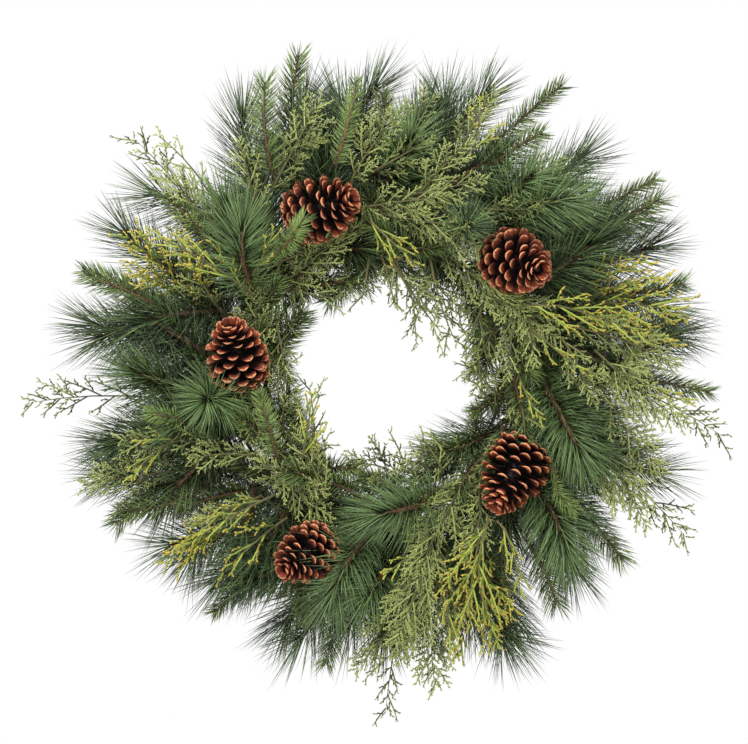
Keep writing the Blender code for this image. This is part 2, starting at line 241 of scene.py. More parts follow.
@dataclass(frozen=True)
class ConeFinish:
    """Woody cone scales: painted shade, near black, deep at the core, red-brown on the face and tan
    on the lip.
    """

    name: str
    core: Colour
    face: Colour
    flush: Colour
    lip: Colour

    def make(self) -> bpy.types.Material:
        """Builds the material."""
        recipe = Recipe(self.name)
        along, tone, ripe = recipe.growth_and_light()
        streaks = recipe.noise(330.0, 4.0)
        grain = recipe.noise(1500.0, 2.0)
        face = (streaks * 0.8 + tone * 0.5 - 0.2).between(0.1, 0.9).pick(self.face, self.flush)
        # Deep in the cone the scales take the near-black core colour, painted shade; more painted
        # light pushes that shade back towards the core.
        bare = (along + ripe * 0.34 + streaks * 0.12 - 0.06).between(0.73, 0.95)
        colour = bare.pick(self.core, face)
        edge = (along + streaks * 0.06 + tone * 0.04 - 0.05).between(0.90, 0.985)
        colour = (edge * (0.5 + tone * 0.5)).pick(colour, self.lip)
        recipe.relief(streaks * 0.7 + grain * 0.3, 0.5, 0.0005)
        return recipe.serve(Base_Color=colour, Roughness=grain * 0.2 + 0.44, Specular_IOR_Level=0.3)


@dataclass(frozen=True)
class WireFinish:
    """Drawn steel wire, enamelled or galvanised, with worn spots."""

    name: str
    coat: Colour
    worn: Colour
    coat_metal: float
    roughness: float

    def make(self) -> bpy.types.Material:
        """Builds the material."""
        recipe = Recipe(self.name)
        spots = recipe.noise(260.0, 4.0)
        scratches = recipe.noise(900.0, 3.0, (1.0, 1.0, 0.15))
        wear = (spots * 0.7 + scratches * 0.4).between(0.62, 0.78)
        recipe.relief(scratches, 0.25, 0.0002)
        return recipe.serve(Base_Color=wear.pick(self.coat, self.worn),
                            Metallic=wear * (0.9 - self.coat_metal) + self.coat_metal,
                            Roughness=scratches * 0.25 + self.roughness)


@dataclass(frozen=True)
class FloorFinish:
    """A plain pale floor with a faint cloudiness."""

    name: str
    low: Colour
    high: Colour

    def make(self) -> bpy.types.Material:
        """Builds the material."""
        recipe = Recipe(self.name)
        clouds = recipe.noise(1.3, 4.0)
        return recipe.serve(Base_Color=clouds.pick(self.low, self.high),
                            Roughness=clouds * 0.1 + 0.8)


@dataclass
class Shoots:
    """Many slender shoots. Each leaves its start along its heading and bends as it goes."""

    start: Array
    heading: Array
    face: Array
    length: Array
    bend: Array

    @classmethod
    def between(cls, heel: Array, tip: Array, sag: Array, face: Array = FRONT) -> "Shoots":
        """One shoot from a heel to a tip.

        Args:
            heel: where it starts.
            tip: where it ends.
            sag: how far its middle lies from the straight line, as a vector.
            face: the way that its broad side faces.

        Returns:
            The single shoot.
        """
        curve = -4 * sag
        leaving = tip - heel - curve
        length = np.linalg.norm(leaving)
        heading = leaving / length
        if abs(heading @ face) > 0.93:
            face = UP
        return cls(heel[None], heading[None], np.asarray(face, float)[None],
                   np.array([length]), (curve / length)[None])

    def shares(self, share: Array) -> Array:
        """The shares for every shoot: (shoots, shares, 1)."""
        return np.broadcast_to(share, (len(self.length), np.shape(share)[-1]))[..., None]

    def at(self, share: Array) -> Array:
        """Points at shares of the length: (shoots, shares, 3)."""
        share = self.shares(share)
        reach = self.length[:, None, None]
        return self.start[:, None] + reach * (share * self.heading[:, None]
                                              + share ** 2 * self.bend[:, None])

    def tangent(self, share: Array) -> Array:
        """Unit directions at shares of the length: (shoots, shares, 3)."""
        return unit(self.heading[:, None] + 2 * self.shares(share) * self.bend[:, None])

    def joined(self, other: "Shoots") -> "Shoots":
        """These shoots and some more."""
        names = ("start", "heading", "face", "length", "bend")
        return Shoots(*(np.concatenate([getattr(self, name), getattr(other, name)])
                        for name in names))

    def square(self, share: Array) -> tuple[Array, Array, Array]:
        """Heading, across and above at shares of the length, square to each other."""
        heading = self.tangent(share)
        across = unit(np.cross(heading, self.face[:, None]))
        return heading, across, np.cross(across, heading)

    def spiral(self, count: int, first: float, last: float, lean: tuple[float, float],
               length: Array, forward: float, rng: np.random.Generator,
               flat: float = 1.0) -> tuple["Shoots", Array]:
        """Needles that stand round each shoot in a spiral.

        Args:
            count: how many on each shoot.
            first: share of the length at the lowest one.
            last: share of the length at the highest one.
            lean: angles from the shoot at the lowest and at the highest, in degrees.
            length: of a needle, as one number or one for each needle.
            forward: how much they curve towards the shoot's tip.
            rng: source of the small differences.
            flat: 1 for all round, less to thin them above and below.

        Returns:
            The needles, and the share of the shoot's length at each.
        """
        shoots = len(self.length)
        order = np.linspace(0, 1, count)
        share = first + (last - first) * order + rng.normal(0, 0.006, (shoots, count))
        share = np.clip(share, 0, 1)
        heading, across, above = self.square(share)
        turn = np.arange(count) * GOLDEN_TURN + rng.normal(0, 0.3, (shoots, count))
        angle = np.radians(lean[0] + (lean[1] - lean[0]) * order ** 2.4)
        angle = angle + rng.normal(0, 0.07, (shoots, count))
        radial = np.cos(turn)[..., None] * across + flat * np.sin(turn)[..., None] * above
        radial = unit(radial)
        out = np.cos(angle)[..., None] * heading + np.sin(angle)[..., None] * radial
        wobble = rng.normal(0, 0.045, out.shape)
        total = shoots * count
        made = Shoots(self.at(share).reshape(total, 3), unit(out).reshape(total, 3),
                      unit(np.cross(out, heading) + 1e-6).reshape(total, 3),
                      np.broadcast_to(length, (shoots, count)).reshape(total).copy(),
                      (forward * heading + wobble - 0.03 * UP).reshape(total, 3))
        return made, share.reshape(total)

    def sides(self, spacing: float, first: float, lean: float, reach: Array, curl: float,
              rng: np.random.Generator, lift: float = 0.12) -> tuple["Shoots", Array, Array]:
        """Shoots that leave each of these by turns to the left and right, in the plane of its face.

        Args:
            spacing: between one and the next.
            first: share of the length at the lowest one.
            lean: angle from the parent, in degrees.
            reach: length over the parent's, at shares 0, 1/4, 1/2, 3/4 and 1 of the parent.
            curl: how much they curve towards the parent's tip.
            rng: source of the small differences.
            lift: how far they stray out of the plane.

        Returns:
            The side shoots, the parent of each, and the share of the parent's length at each.
        """
        count = np.maximum((self.length * (1 - first) / spacing).astype(int), 2)
        parent = np.repeat(np.arange(len(count)), count)
        place = np.arange(count.sum()) - np.repeat(np.cumsum(count) - count, count)
        share = first + (0.99 - first) * (place + 0.5) / count[parent]
        few = Shoots(self.start[parent], self.heading[parent], self.face[parent],
                     self.length[parent], self.bend[parent])
        heading, across, above = (axes[:, 0] for axes in few.square(share[:, None]))
        hand = np.where(place % 2 == 0, 1.0, -1.0)[:, None]
        angle = np.radians(lean + rng.normal(0, 5, len(parent)))[:, None]
        out = np.cos(angle) * heading + hand * np.sin(angle) * across
        out = unit(out + above * rng.normal(0, lift, (len(parent), 1)))
        size = np.interp(share, [0, 0.25, 0.5, 0.75, 1], reach)
        size = size * rng.uniform(0.62, 1.2, len(parent))
        face = unit(above + rng.normal(0, 0.15, out.shape))
        made = Shoots(few.at(share[:, None])[:, 0], out, face, few.length * size,
                      curl * heading - 0.03 * UP)
        return made, parent, share


@dataclass
class Bundle:
    """Gathers shoots, scales and wires into one mesh, with the facts that its finish reads."""

    pressed: bool = False
    parts: dict[str, list[Array]] = field(default_factory=dict)
    counts: dict[bool, int] = field(default_factory=lambda: {False: 0, True: 0})
    total: int = 0

    def gather(self, name: str) -> Array:
        """Everything that was added under a name, as one array."""
        return np.concatenate(self.parts[name])

    def tubes(self, path: Array, across: Array, width: Array, depth: Array, sides: int = 3,
              tone: Array | float = 0.5, ripe: Array | float = 0.5, along: Array | None = None,
              finish: int = 0, bold: bool = False, pointed: bool = True,
              cup: Array | float = 0.0) -> None:
        """Adds closed tubes of changing section.

        Args:
            path: middle line of each tube, (tubes, rings, 3).
            across: the way that its width lies, (tubes, 3) or (tubes, rings, 3).
            width: half width at each ring, (tubes, rings).
            depth: half depth at each ring, (tubes, rings).
            sides: corners of a ring.
            tone: a number from 0 to 1 for each tube.
            ripe: a second number from 0 to 1 for each tube, the light or shade painted into its
                colour.
            along: a number from 0 to 1 for each ring; from foot to tip if left out.
            finish: which of the piece's materials it wears.
            bold: True for a few large tubes, False for many small ones.
            pointed: True if it ends in a point, False if it ends in a flat face.
            cup: how far the two edges fall back from the middle of its broad side.
        """
        tubes, rings = path.shape[:2]
        run = unit(np.gradient(path, axis=1))
        across = np.broadcast_to(across if across.ndim == 3 else across[:, None], path.shape)
        side = unit(across - (across * run).sum(-1, keepdims=True) * run)
        above = np.cross(run, side)
        turn = 2 * math.pi * np.arange(sides) / sides + math.pi / 2
        cosine, sine = np.cos(turn), np.sin(turn)
        width, depth, cup = (np.broadcast_to(value, (tubes, rings))[:, :, None, None]
                             for value in (width, depth, cup))
        ring = path[:, :, None] + side[:, :, None] * width * cosine[:, None]
        ring = ring + above[:, :, None] * (depth * sine[:, None] - cup * cosine[:, None] ** 2)
        along = np.linspace(0, 1, rings) if along is None else along
        along = np.broadcast_to(along, (tubes, rings))
        if pointed:
            body, last = ring[:, :-1], path[:, -1:]
            corners = np.concatenate([body.reshape(tubes, -1, 3), last], axis=1)
            rows = np.concatenate([np.repeat(along[:, :-1], sides, axis=1), along[:, -1:]], axis=1)
        else:
            body = ring
            corners = ring.reshape(tubes, -1, 3)
            rows = np.repeat(along, sides, axis=1)
        loops, sizes, chart = self.skin(body.shape[1], sides, pointed)
        each = corners.shape[1]
        facts = np.stack([rows, *(np.broadcast_to(np.reshape(value, (-1, 1)), rows.shape)
                                  for value in (tone, ripe))], axis=-1)
        offset = self.total + each * np.arange(tubes)[:, None]
        order = self.counts[bold] + np.arange(tubes)
        added = {"corners": corners.reshape(-1, 3), "facts": facts.reshape(-1, 3),
                 "loops": (loops + offset).reshape(-1), "sizes": np.tile(sizes, tubes),
                 "finishes": np.full(len(sizes) * tubes, finish),
                 "charts": np.tile(chart, (tubes, 1)),
                 "cells": np.repeat(-1 - order if bold else order, len(loops))}
        for key, values in added.items():
            self.parts.setdefault(key, []).append(values)
        self.total += each * tubes
        self.counts[bold] += tubes

    @staticmethod
    def skin(rings: int, sides: int, pointed: bool) -> tuple[Array, Array, Array]:
        """Corner numbers, face sizes and chart places of one tube."""
        low = (np.arange(rings - 1)[:, None] * sides + np.arange(sides)).reshape(-1)
        step = (np.arange(rings - 1)[:, None] * sides + (np.arange(sides) + 1) % sides).reshape(-1)
        quads = np.stack([low, step, step + sides, low + sides], axis=1)
        u = np.tile(np.arange(sides) / sides, rings - 1)
        v = np.repeat(np.arange(rings - 1), sides) / rings
        more_u, more_v = 1 / sides, 1 / rings
        chart = np.stack([u, v, u + more_u, v, u + more_u, v + more_v, u, v + more_v], axis=1)
        loops, sizes = [quads.reshape(-1)], [np.full(len(quads), 4)]
        charts = [chart.reshape(-1, 2)]
        corner = np.arange(sides)
        top = (rings - 1) * sides
        if pointed:
            tip = np.full(sides, rings * sides)
            fan = np.stack([top + corner, top + (corner + 1) % sides, tip], axis=1)
            across = corner / sides
            height = np.full(sides, (rings - 1) / rings)
            fan_chart = [across, height, across + more_u, height, across + more_u / 2,
                         height + more_v]
            loops.append(fan.reshape(-1))
            sizes.append(np.full(sides, 3))
            charts.append(np.stack(fan_chart, axis=1).reshape(-1, 2))
        else:
            loops.append(top + corner)
            sizes.append(np.array([sides]))
            turn = corner * 2 * math.pi / sides
            charts.append(np.stack([np.cos(turn) * 0.4 + 0.5,
                                    1 - more_v * (0.5 + 0.4 * np.sin(turn))], axis=1))
        loops.append(corner[::-1])
        sizes.append(np.array([sides]))
        charts.append(np.stack([corner[::-1] / sides, np.zeros(sides)], axis=1))
        return np.concatenate(loops), np.concatenate(sizes), np.concatenate(charts)

    def shoots(self, shoots: Shoots, radius: Array | float, taper: tuple[float, ...],
               sides: int = 3, flat: float = 1.0, **facts: object) -> None:
        """Adds shoots as tubes.

        Args:
            shoots: the shoots.
            radius: half width at the foot of each.
            taper: half width over the one at the foot, at even steps from foot to tip.
            sides: corners of a ring.
            flat: depth over width.
            facts: the rest of what tubes takes.
        """
        share = np.linspace(0, 1, len(taper))
        width = np.broadcast_to(np.reshape(radius, (-1, 1)), (len(shoots.length), 1))
        width = width * np.array(taper)
        _, across, _ = shoots.square(np.array([0.5]))
        self.tubes(shoots.at(share), across[:, 0], width, width * flat, sides,
                   pointed=taper[-1] == 0, **facts)

    def unfold(self) -> Array:
        """A chart that gives each small tube a cell below, and each large one a cell above."""
        cells, chart = self.gather("cells"), self.gather("charts")
        large = cells < 0
        made = np.empty_like(chart)
        for mask, count, low, high, shape in ((~large, self.counts[False], 0.0, 0.88, 3.0),
                                              (large, self.counts[True], 0.88, 1.0, 12.0)):
            if not mask.any():
                continue
            columns = max(1, math.ceil(math.sqrt(count * shape)))
            rows = math.ceil(count / columns)
            index = np.where(cells < 0, -cells - 1, cells)[mask]
            made[mask, 0] = (index % columns + 0.1 + 0.8 * chart[mask, 0]) / columns
            upward = (index // columns + 0.08 + 0.84 * chart[mask, 1]) / rows
            made[mask, 1] = low + (high - low) * upward
        return made

    @staticmethod
    def press(corners: Array) -> Array:
        """The corners, eased round the cones, off the wall and into the rounded front."""
        for clock, radius, forward, _, size, _ in CONES:
            offset = corners - on_ring(clock, radius, forward + CONE_LEAD)
            gap = np.linalg.norm(offset, axis=1)
            reach = CONE_ROOM * size
            near = gap < reach
            eased = reach * (0.72 + 0.28 * gap[near] / reach) - gap[near]
            corners[near] += offset[near] * (eased / gap[near])[:, None]
        right, up = corners[:, 0] - CENTRE[0], corners[:, 2] - CENTRE[2]
        waves = np.sin(7 * np.arctan2(right, up)) + np.sin(60 * right) + np.sin(75 * up)
        front = np.interp(np.hypot(right, up), *FRONT_REACH) + 0.0025 * waves
        for sign, limit, soft in ((1, WALL, 0.012), (-1, front, 0.030)):
            edge = limit - soft
            past = np.maximum(sign * corners[:, 1] - edge, 0)
            near = np.minimum(sign * corners[:, 1], edge)
            corners[:, 1] = sign * (near + soft * (1 - np.exp(-past / soft)))
        return corners

    def make(self, name: str, finishes: list[bpy.types.Material]) -> bpy.types.Object:
        """Makes the mesh object.

        Args:
            name: the piece's name.
            finishes: its materials, in the order of their numbers.

        Returns:
            The new object, in the scene.
        """
        corners, loops, sizes = (self.gather(part) for part in ("corners", "loops", "sizes"))
        if self.pressed:
            corners = self.press(corners)
        mesh = bpy.data.meshes.new(name)
        mesh.vertices.add(len(corners))
        mesh.loops.add(len(loops))
        mesh.polygons.add(len(sizes))
        mesh.vertices.foreach_set("co", corners.astype(np.float32).reshape(-1))
        mesh.loops.foreach_set("vertex_index", loops.astype(np.int32))
        mesh.polygons.foreach_set("loop_start", (np.cumsum(sizes) - sizes).astype(np.int32))
        mesh.polygons.foreach_set("material_index", self.gather("finishes").astype(np.int32))
        mesh.polygons.foreach_set("use_smooth", np.ones(len(sizes), bool))
        chart = mesh.uv_layers.new(name="OFBake")
        chart.data.foreach_set("uv", self.unfold().astype(np.float32).reshape(-1))
        growth_and_light = mesh.attributes.new("growth_and_light", "FLOAT_COLOR", "POINT")
        colours = np.pad(self.gather("facts"), ((0, 0), (0, 1)), constant_values=1.0)
        growth_and_light.data.foreach_set("color", colours.astype(np.float32).reshape(-1))
        mesh.update(calc_edges=True)
        mesh.validate()
        for finish in finishes:
            mesh.materials.append(finish)
        piece = bpy.data.objects.new(name, mesh)
        bpy.context.scene.collection.objects.link(piece)
        return piece


# The middle of the rings, and the wall that the wreath hangs on.
CENTRE = np.array([0.0, -0.010, -0.182])
WALL = 0.008

# Numbers of a sprig's two finishes: leaves first, then bark.
BARK = 1

# Needles on a pine spray: in front, and in the bed that is mostly hidden.
FRONT_NEEDLES, BED_NEEDLES = 390, 230

# Reach of the twigs at the top of a flat spray's stem, and of the leaves at its branches' ends.
TOP_REACH = (0.0, 0.0, 0.10, 0.09, 0.05)
END_REACH = (0.0, 0.07, 0.07, 0.07, 0.06)

# The middle of the frame's trough, its four rings as radius and forward, and where a cone's wire
# leaves it.
TROUGH = 0.127
RINGS = ((0.150, 0.0), (0.137, -0.012), (0.117, -0.012), (0.104, 0.0))
CONE_WIRE_RADIUS = 0.1472

# Cones: clock, radius and forward of the middle, the tip's direction to the right, to the front
# and up, the size, and the clock of the wire that holds it.
CONES = [
    (340, 0.149, 0.074, (0.72, 0.62, 0.22), 1.06, 345),
    (51, 0.147, 0.074, (0.55, 0.80, -0.22), 1.06, 45),
    (278, 0.129, 0.074, (-0.15, 0.62, 0.76), 1.00, 270),
    (130, 0.140, 0.074, (-0.46, 0.40, -0.79), 1.06, 135),
    (204, 0.172, 0.072, (-0.62, 0.66, -0.42), 0.94, 195),
]

# How far forward the foliage stands: radii from the middle of the ring, and the reach at each.
FRONT_REACH = ((0.06, 0.12, 0.19, 0.30), (0.104, 0.118, 0.118, 0.088))

# The room that the foliage leaves round a cone, and how far forward of the cone's middle it lies.
CONE_ROOM = 0.038
CONE_LEAD = 0.014


def on_ring(clock: Array | float, radius: Array | float, forward: Array | float = 0.0) -> Array:
    """The place at a clock degree, a radius and a distance forward of the rings' plane."""
    turn = np.radians(clock)
    parts = np.broadcast_arrays(radius * np.sin(turn), -1.0 * np.asarray(forward),
                                radius * np.cos(turn))
    return CENTRE + np.stack(parts, axis=-1)


def spot(clock: float, radius: int, forward: int) -> Array:
    """The place of a table's clock degree, with its radius and forward in millimetres."""
    return on_ring(clock, radius / 1000, forward / 1000)


def ends_of(node: bpy.types.Object) -> tuple[Array, Array]:
    """The two ends of a long CAD node: first the one nearer the rings, then the tip."""
    corners = np.array([corner.co for corner in node.data.vertices], float)
    middle = corners.mean(axis=0)
    axis = np.linalg.svd(corners - middle, full_matrices=False)[2][0]
    along = (corners - middle) @ axis
    low = corners[along < along.min() + 0.002].mean(axis=0)
    high = corners[along > along.max() - 0.002].mean(axis=0)
    ends = sorted((low, high), key=lambda end: abs(np.hypot(end[0], end[2] - CENTRE[2]) - TROUGH))
    return ends[0], ends[1]


class Kind(Enum):
    """What grows on a sprig. The value begins the names of its CAD nodes."""

    PINE = "pine_spray"
    FIR = "fir_tip"
    CEDAR = "cedar_spray"
    CYPRESS = "cypress_spray"


@dataclass
class Sprig:
    """A cut sprig, from its heel in the binding to its tip."""

    heel: Array
    tip: Array
    ripe: float
    seed: int
    sag: float = 0.006
    vigour: float = 1.0

    def __post_init__(self) -> None:
        """Sets the sprig's own random source and the way that it points."""
        self.rng = np.random.default_rng(self.seed)
        self.span = float(np.linalg.norm(self.tip - self.heel))
        self.way = (self.tip - self.heel) / self.span

    def stem(self, short: float) -> Shoots:
        """The main stem, which stops short of the tip and bows a little."""
        sideways = np.cross(self.way, FRONT)
        bow = self.sag * FRONT + self.rng.normal(0, 0.05) * self.span * sideways
        return Shoots.between(self.heel, self.tip - self.way * short, bow)

    def grow(self, bundle: Bundle) -> None:
        """Adds the sprig to a bundle."""
        raise NotImplementedError

    def wood(self, bundle: Bundle, stem: Shoots, radius: float, taper: tuple[float, ...],
             sides: int = 6) -> None:
        """Adds the barked stem to a bundle, with the arguments of Bundle.shoots."""
        bundle.shoots(stem, radius, taper, sides=sides, finish=BARK, bold=True,
                      tone=self.rng.random(), ripe=self.ripe)

    def shade(self, count: int, spread: float = 0.16) -> Array:
        """Painted light of each of its parts, spread about the sprig's own."""
        return np.clip(self.ripe + self.rng.normal(0, spread, count), 0, 1)


@dataclass
class PineSpray(Sprig):
    """A pine shoot in a brush of long fine needles."""

    needle: float = 0.046
    count: int = FRONT_NEEDLES
    girth: float = 0.00039
    bare: float = 0.02

    def grow(self, bundle: Bundle) -> None:
        """Adds the stem, its bud and the needles."""
        rng = self.rng
        stem = self.stem(min(self.needle * 0.48, self.span * 0.4))
        self.wood(bundle, stem, 0.0027, (1.1, 1, 1, 0.95, 0.9, 0.8, 0.6, 0), 7)
        length = self.needle * self.vigour * rng.uniform(0.82, 1.12, self.count)
        length = length * np.interp(np.linspace(0, 1, self.count), [0, 0.3, 1], [0.70, 1.0, 0.90])
        needles, share = stem.spiral(self.count, self.bare, 1.0, (64, 26), length, 0.17, rng)
        bundle.shoots(needles, self.girth, (0.85, 1, 0.8, 0), tone=rng.random(len(share)),
                      ripe=self.shade(len(share)))
        scales, spots = stem.spiral(46, 0.02, 0.98, (30, 30), 0.0036, 0.0, rng)
        bundle.shoots(scales, 0.0007, (1, 0.8, 0), finish=BARK, tone=rng.random(len(spots)))


@dataclass
class FirTip(Sprig):
    """A fir shoot set with short flat needles."""

    needle: float = 0.0172
    girth: float = 0.00046
    bare: float = 0.06
    gap: float = 0.00035

    def grow(self, bundle: Bundle) -> None:
        """Adds the stem and its needles."""
        rng = self.rng
        stem = self.stem(0.009)
        self.wood(bundle, stem, 0.0018, (1.1, 1, 0.9, 0.75, 0.6, 0.4))
        count = max(int(stem.length[0] / self.gap), 20)
        fall = np.interp(np.linspace(0, 1, count), [0, 0.2, 0.8, 1], [0.80, 1.0, 1.0, 0.80])
        length = self.needle * self.vigour * fall * rng.uniform(0.8, 1.12, count)
        needles, share = stem.spiral(count, self.bare, 1.0, (70, 40), length, 0.20, rng, 0.85)
        # Lighter towards the shoot's tip, darker towards its foot.
        lighter_at_tip = np.clip(self.shade(len(share)) + 0.25 * (share - 0.6), 0, 1)
        bundle.shoots(needles, self.girth, (0.8, 1, 0.85, 0), flat=0.55,
                      tone=rng.random(len(share)), ripe=lighter_at_tip)


@dataclass(frozen=True)
class Order:
    """One order of branching: the gap between shoots, their angle, their reaches and girth."""

    gap: float
    lean: float
    reach: tuple[float, ...]
    girth: float


@dataclass(frozen=True)
class Habit:
    """How a scale-leaved spray branches, and how far its shoots stray from its plane."""

    branch: Order
    twig: Order
    leaf: Order
    lift: float


class Habits(Enum):
    """The named ways of branching."""

    LACY = Habit(Order(0.0068, 35.0, (0.24, 0.32, 0.28, 0.20, 0.08), 0.00062),
                 Order(0.0030, 40.0, (0.34, 0.36, 0.30, 0.21, 0.10), 0.00060),
                 Order(0.0012, 36.0, (0.32, 0.32, 0.30, 0.28, 0.26), 0.00066), 0.30)
    CORAL = Habit(Order(0.0125, 20.0, (0.60, 0.52, 0.38, 0.24, 0.10), 0.00084),
                  Order(0.0085, 24.0, (0.42, 0.38, 0.32, 0.24, 0.14), 0.00080),
                  Order(0.0044, 30.0, (0.34, 0.36, 0.36, 0.34, 0.32), 0.00094), 0.34)
    THREADY = Habit(Order(0.0125, 36.0, (0.22, 0.34, 0.36, 0.34, 0.20), 0.00070),
                    Order(0.0062, 38.0, (0.38, 0.36, 0.32, 0.25, 0.16), 0.00062),
                    Order(0.0024, 34.0, (0.36, 0.36, 0.34, 0.30, 0.30), 0.00066), 0.25)


@dataclass
class ScaleSpray(Sprig):
    """A flat spray of scale leaves on three orders of branches."""

    habit: Habit = Habits.LACY.value

    def grow(self, bundle: Bundle) -> None:
        """Adds the stem, branches, twigs and leaves."""
        rng, habit = self.rng, self.habit
        branching, twigs, leaves, lift = habit.branch, habit.twig, habit.leaf, habit.lift
        stem = self.stem(0.0)
        self.wood(bundle, stem, 0.0012, (1.1, 1, 0.85, 0.7, 0.55, 0.4, 0))
        reach = tuple(self.vigour * share for share in branching.reach)
        branch, _, _ = stem.sides(branching.gap, 0.06, branching.lean, reach, 0.18, rng, lift)
        twig, _, along_branch = branch.sides(twigs.gap, 0.10, twigs.lean, twigs.reach, 0.14,
                                             rng, lift)
        tips, _, _ = stem.sides(twigs.gap, 0.72, twigs.lean, TOP_REACH, 0.1, rng, lift)
        along_branch = np.concatenate([along_branch, np.full(len(tips.length), 0.9)])
        twig = twig.joined(tips)
        leaf, parent, along_twig = twig.sides(leaves.gap, 0.06, leaves.lean, leaves.reach, 0.16,
                                              rng, lift * 1.4)
        end, _, along_end = branch.sides(leaves.gap, 0.3, leaves.lean, END_REACH, 0.16, rng, lift)
        bundle.shoots(branch, branching.girth, (1, 1.05, 0.95, 0.85, 0.7, 0), sides=5, flat=0.7,
                      bold=True, tone=rng.random(len(branch.length)),
                      ripe=self.shade(len(branch.length)),
                      along=np.array([0.0, 0.1, 0.2, 0.35, 0.5, 0.8]))
        shade = self.shade(len(twig.length), 0.2)
        bundle.shoots(twig, twigs.girth, (0.9, 1.15, 0.85, 1.05, 0), flat=0.8, tone=along_branch,
                      ripe=shade, along=np.array([0.1, 0.25, 0.4, 0.7, 1.0]))
        leaf_tone = along_branch[parent] * 0.5 + along_twig * 0.5
        for shoots, tone, ripe in ((leaf, leaf_tone, shade[parent]), (end, along_end, self.ripe)):
            bundle.shoots(shoots, leaves.girth, (0.8, 1.1, 0), flat=0.8, tone=tone, ripe=ripe,
                          along=np.array([0.3, 0.6, 1.0]))


@dataclass
class PineCone:
    """An open pine cone on a core, with its scales in Fibonacci spirals."""

    middle: Array
    axis: Array
    size: float
    seed: int
    scales: int = 96
    core: float = 0.0060

    def __post_init__(self) -> None:
        """Squares the cone's own axes."""
        self.axis = self.axis / np.linalg.norm(self.axis)
        self.right = unit(np.cross(self.axis, UP + 0.1 * FRONT))
        self.ahead = np.cross(self.axis, self.right)

    def grow(self, bundle: Bundle) -> None:
        """Adds the core, the scales and the prickles on their lips."""
        rng = np.random.default_rng(self.seed)
        order = (np.arange(self.scales) + 0.5) / self.scales
        turn = np.arange(self.scales) * GOLDEN_TURN + rng.normal(0, 0.05, self.scales)
        radial = np.cos(turn)[:, None] * self.right + np.sin(turn)[:, None] * self.ahead
        around = np.cross(self.axis, radial)
        height = np.interp(order, [0, 0.5, 1], [-0.029, -0.008, 0.021]) * self.size
        open_angle = np.radians(100 - 84 * order ** 2.2 + rng.normal(0, 3.0, self.scales))
        length = np.interp(order, [0, 0.2, 0.5, 0.8, 1], [0.017, 0.0235, 0.0245, 0.019, 0.012])
        length = length * self.size * rng.uniform(0.95, 1.05, self.scales)
        first = open_angle - 0.22
        heading = np.sin(first)[:, None] * radial + np.cos(first)[:, None] * self.axis
        outward = np.cos(open_angle)[:, None] * radial - np.sin(open_angle)[:, None] * self.axis
        start = self.middle + height[:, None] * self.axis + self.core * 0.6 * self.size * radial
        shoots = Shoots(start, heading, radial, length, 0.16 * outward)
        stations = np.array([0.0, 0.25, 0.5, 0.72, 0.86, 0.95, 1.0])
        path = shoots.at(stations)
        half = np.interp(order, [0, 0.25, 0.6, 1], [0.0044, 0.0054, 0.0050, 0.0032]) * self.size
        width = half[:, None] * np.array([0.30, 0.48, 0.78, 0.98, 1.0, 0.82, 0.44])
        depth = 0.001 * self.size * np.array([0.4, 0.4, 0.35, 0.4, 0.65, 0.75, 0.40])
        depth = depth[None] * np.interp(order, [0, 0.5, 1], [1.1, 1.1, 0.8])[:, None]
        tone = rng.random(self.scales)
        # The scales' order, cubed, is their painted light: the higher scales show less painted
        # shade.
        bundle.tubes(path, around, width, depth, 10, tone, order ** 3, stations, pointed=False,
                     cup=width * np.array([-0.05, -0.12, -0.2, -0.28, -0.32, -0.34, -0.34]))
        run = shoots.tangent(np.array([1.0]))[:, 0]
        spike = Shoots(path[:, -2] - 0.0006 * outward, unit(run - 0.5 * outward), around,
                       0.0030 * self.size * (1 - 0.6 * order),
                       np.broadcast_to(0.25 * self.axis, run.shape))
        bundle.shoots(spike, 0.0008 * self.size, (1, 0.7, 0.35, 0), sides=5, tone=tone,
                      along=np.array([0.82, 0.88, 0.94, 1.0]))
        base = self.middle - 0.031 * self.size * self.axis
        core = Shoots.between(base, base + 0.056 * self.size * self.axis, np.zeros(3), self.right)
        # The cone's core is painted near black except at its base: painted shade deep in the cone.
        bundle.shoots(core, self.core * self.size, (0.8, 1.0, 1.0, 0.8, 0.4), sides=12, bold=True,
                      along=np.array([0.9, 0.3, 0.1, 0.1, 0.3]))


@dataclass
class Wire:
    """A round wire along a run of points."""

    points: Array
    radius: float
    sides: int = 10
    closed: bool = False

    def grow(self, bundle: Bundle) -> None:
        """Adds the wire, with rounded ends unless it is closed on itself."""
        points = self.points
        if self.closed:
            points = np.concatenate([points, points[:2]])
        run = unit(np.gradient(points, axis=0))
        across = np.empty_like(points)
        start = np.cross(run[0], FRONT)
        across[0] = unit(start if np.linalg.norm(start) > 0.2 else np.cross(run[0], UP))
        for index in range(1, len(points)):
            level = across[index - 1] - (across[index - 1] @ run[index]) * run[index]
            across[index] = unit(level)
        width = np.full((1, len(points)), self.radius)
        if not self.closed:
            width[0, [0, -1]] = self.radius * 0.6
        bundle.tubes(points[None], across[None], width, width, self.sides, bold=True,
                     pointed=False)

    @classmethod
    def smooth(cls, corners: Array, radius: float) -> "Wire":
        """A wire bent smoothly through corners."""
        steps = 6
        ends = np.concatenate([2 * corners[:1] - corners[1:2], corners,
                               2 * corners[-1:] - corners[-2:-1]])
        share = (np.arange(steps) / steps)[None, :, None]
        one, two, three, four = (ends[shift:len(ends) - 3 + shift][:, None] for shift in range(4))
        curve = 0.5 * (2 * two + (three - one) * share
                       + (2 * one - 5 * two + 4 * three - four) * share ** 2
                       + (3 * two - one - 3 * three + four) * share ** 3)
        return cls(np.concatenate([curve.reshape(-1, 3), corners[-1:]]), radius)


